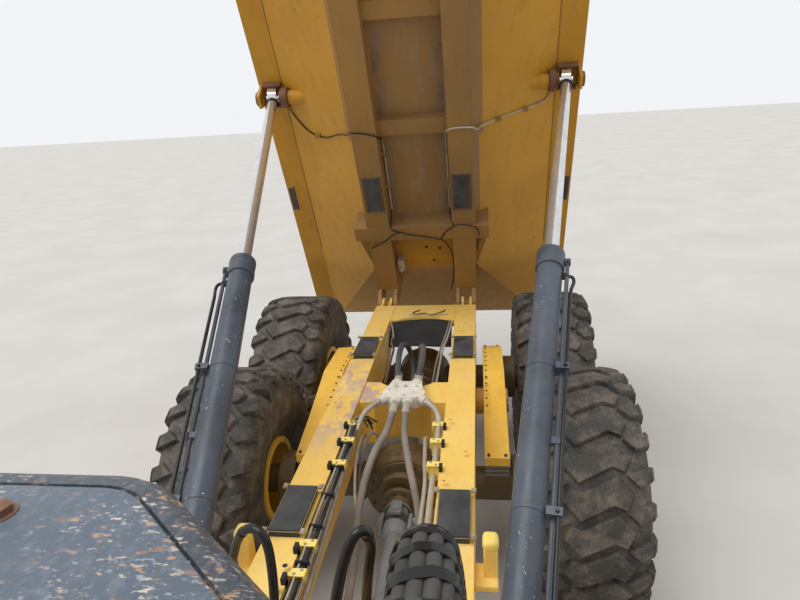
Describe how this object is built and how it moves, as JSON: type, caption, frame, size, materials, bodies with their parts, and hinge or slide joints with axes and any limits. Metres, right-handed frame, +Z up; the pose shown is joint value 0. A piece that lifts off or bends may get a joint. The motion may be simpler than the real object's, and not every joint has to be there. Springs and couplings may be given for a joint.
{
  "type": "articulated dump truck",
  "caption": "Three-axle articulated dump truck with a raised slope-sided body, hoist cylinders, a steering and oscillating hitch, and a front half with cab and hood.",
  "frame": {"origin": "on the ground under the middle of the truck's length and width, with the body raised", "axes": "+X forward, +Y to the truck's left, +Z up"},
  "size_m": [12.1133, 3.52, 7.2598],
  "materials": {
    "black_paint": "scratched satin paint",
    "chrome": "polished rod",
    "dark_steel": "dull and oily",
    "glass": "clear",
    "lamp": "glossy lens",
    "plastic": "moulded",
    "rubber": "matt",
    "seat_cloth": "woven",
    "stainless": "brushed",
    "tyre": "dusty",
    "yellow_paint": "worn gloss paint with dirt"
  },
  "bodies": {
    "rear_frame": {"rear_frame_beams": "yellow_paint", "rear_frame_crossmembers": "yellow_paint", "hoist_brackets": "yellow_paint", "rear_tow_eye": "yellow_paint", "body_pads": "rubber", "walking_beam_left": "yellow_paint", "walking_beam_right": "yellow_paint", "suspension_blocks": "rubber", "mid_axle": "yellow_paint", "rear_axle": "yellow_paint", "propshafts": "dark_steel", "hydraulic_manifold": "dark_steel", "rear_lamps": "lamp"},
    "dump_body": {"dump_body": "yellow_paint", "body_rails": "yellow_paint"},
    "hoist_barrel_left": {"hoist_barrel_left": "black_paint"},
    "hoist_rod_left": {"hoist_rod_left": "chrome"},
    "hoist_barrel_right": {"hoist_barrel_right": "black_paint"},
    "hoist_rod_right": {"hoist_rod_right": "chrome"},
    "hitch_yoke": {"hitch_yoke": "yellow_paint"},
    "front_half": {"front_frame": "yellow_paint", "front_axle": "yellow_paint", "engine": "dark_steel", "radiator": "dark_steel", "cab_shell": "yellow_paint", "cab_roof": "black_paint", "cab_glass": "glass", "bumper": "black_paint", "headlamps": "glass", "front_fenders": "yellow_paint", "steps": "black_paint", "handrails": "black_paint", "side_tanks": "yellow_paint", "exhaust_stack": "stainless", "seat": "seat_cloth", "driver_console": "plastic", "mirrors": "plastic"},
    "cab_door": {"cab_door": "yellow_paint", "door_glass": "glass"},
    "hood": {"hood": "yellow_paint", "grille": "black_paint"},
    "steering_barrel_left": {"steering_barrel_left": "black_paint"},
    "steering_rod_left": {"steering_rod_left": "chrome"},
    "steering_barrel_right": {"steering_barrel_right": "black_paint"},
    "steering_rod_right": {"steering_rod_right": "chrome"},
    "wheel_front_left": {"tyre_front_left": "tyre", "rim_front_left": "yellow_paint"},
    "wheel_front_right": {"tyre_front_right": "tyre", "rim_front_right": "yellow_paint"},
    "wheel_mid_left": {"tyre_mid_left": "tyre", "rim_mid_left": "yellow_paint"},
    "wheel_mid_right": {"tyre_mid_right": "tyre", "rim_mid_right": "yellow_paint"},
    "wheel_rear_left": {"tyre_rear_left": "tyre", "rim_rear_left": "yellow_paint"},
    "wheel_rear_right": {"tyre_rear_right": "tyre", "rim_rear_right": "yellow_paint"}
  },
  "joints": [
    {"name": "dump", "type": "hinge", "parent": "rear_frame", "child": "dump_body", "pos_m": [-4.426, 0, 1.554], "axis": [0, 1, 0], "range_deg": [0, 65]},
    {"name": "oscillation", "type": "hinge", "parent": "rear_frame", "child": "hitch_yoke", "pos_m": [1.397, 0, 1.15], "axis": [1, 0, 0], "range_deg": [-15, 15]},
    {"name": "steer", "type": "hinge", "parent": "hitch_yoke", "child": "front_half", "pos_m": [1.397, 0, 1.15], "axis": [0, 0, 1], "range_deg": [-45, 45]},
    {"name": "door", "type": "hinge", "parent": "front_half", "child": "cab_door", "pos_m": [2.987, 0.762, 2.7], "axis": [0, 0, -1], "range_deg": [0, 80]},
    {"name": "hood_tilt", "type": "hinge", "parent": "front_half", "child": "hood", "pos_m": [5.767, 0, 1.47], "axis": [0, 1, 0], "range_deg": [0, 50]},
    {"name": "hoist_tilt_left", "type": "hinge", "parent": "rear_frame", "child": "hoist_barrel_left", "pos_m": [0.919, 0.694, 1.406], "axis": [-0.3802, -0.7883, -0.4838], "range_deg": [0, 11.28]},
    {"name": "hoist_slide_left", "type": "slide", "parent": "hoist_barrel_left", "child": "hoist_rod_left", "axis": [-0.8801, 0.1475, 0.4512], "range_m": [-2.5252, 0]},
    {"name": "steering_swing_left", "type": "hinge", "parent": "front_half", "child": "steering_barrel_left", "pos_m": [2.347, 0.38, 1], "axis": [0, 0, 1], "range_deg": [-2.59, 2.59]},
    {"name": "steering_slide_left", "type": "slide", "parent": "steering_barrel_left", "child": "steering_rod_left", "axis": [-0.9984, -0.0571, 0], "range_m": [-0.2424, 0.2424]},
    {"name": "hoist_tilt_right", "type": "hinge", "parent": "rear_frame", "child": "hoist_barrel_right", "pos_m": [0.919, -0.694, 1.406], "axis": [0.3802, -0.7883, 0.4838], "range_deg": [0, 11.28]},
    {"name": "hoist_slide_right", "type": "slide", "parent": "hoist_barrel_right", "child": "hoist_rod_right", "axis": [-0.8801, -0.1475, 0.4512], "range_m": [-2.5252, 0]},
    {"name": "steering_swing_right", "type": "hinge", "parent": "front_half", "child": "steering_barrel_right", "pos_m": [2.347, -0.38, 1], "axis": [0, 0, 1], "range_deg": [-2.59, 2.59]},
    {"name": "steering_slide_right", "type": "slide", "parent": "steering_barrel_right", "child": "steering_rod_right", "axis": [-0.9984, 0.0571, 0], "range_m": [-0.2424, 0.2424]},
    {"name": "wheel_front_left_spin", "type": "hinge", "parent": "front_half", "child": "wheel_front_left", "pos_m": [2.867, 1.38, 0.935], "axis": [0, 1, 0], "continuous": true},
    {"name": "wheel_front_right_spin", "type": "hinge", "parent": "front_half", "child": "wheel_front_right", "pos_m": [2.867, -1.38, 0.935], "axis": [0, 1, 0], "continuous": true},
    {"name": "wheel_mid_left_spin", "type": "hinge", "parent": "rear_frame", "child": "wheel_mid_left", "pos_m": [-1.723, 1.38, 0.935], "axis": [0, 1, 0], "continuous": true},
    {"name": "wheel_mid_right_spin", "type": "hinge", "parent": "rear_frame", "child": "wheel_mid_right", "pos_m": [-1.723, -1.38, 0.935], "axis": [0, 1, 0], "continuous": true},
    {"name": "wheel_rear_left_spin", "type": "hinge", "parent": "rear_frame", "child": "wheel_rear_left", "pos_m": [-3.693, 1.38, 0.935], "axis": [0, 1, 0], "continuous": true},
    {"name": "wheel_rear_right_spin", "type": "hinge", "parent": "rear_frame", "child": "wheel_rear_right", "pos_m": [-3.693, -1.38, 0.935], "axis": [0, 1, 0], "continuous": true}
  ],
  "couplings": [
    {"joint": "hoist_tilt_left", "follows": "dump", "ratio": 0.17318},
    {"joint": "hoist_slide_left", "follows": "dump", "m_per_rad": -2.2241},
    {"joint": "steering_swing_left", "follows": "steer", "ratio": -0.0572},
    {"joint": "steering_slide_left", "follows": "steer", "m_per_rad": -0.3073},
    {"joint": "hoist_tilt_right", "follows": "dump", "ratio": 0.17318},
    {"joint": "hoist_slide_right", "follows": "dump", "m_per_rad": -2.2241},
    {"joint": "steering_swing_right", "follows": "steer", "ratio": -0.0572},
    {"joint": "steering_slide_right", "follows": "steer", "m_per_rad": 0.3073}
  ]
}
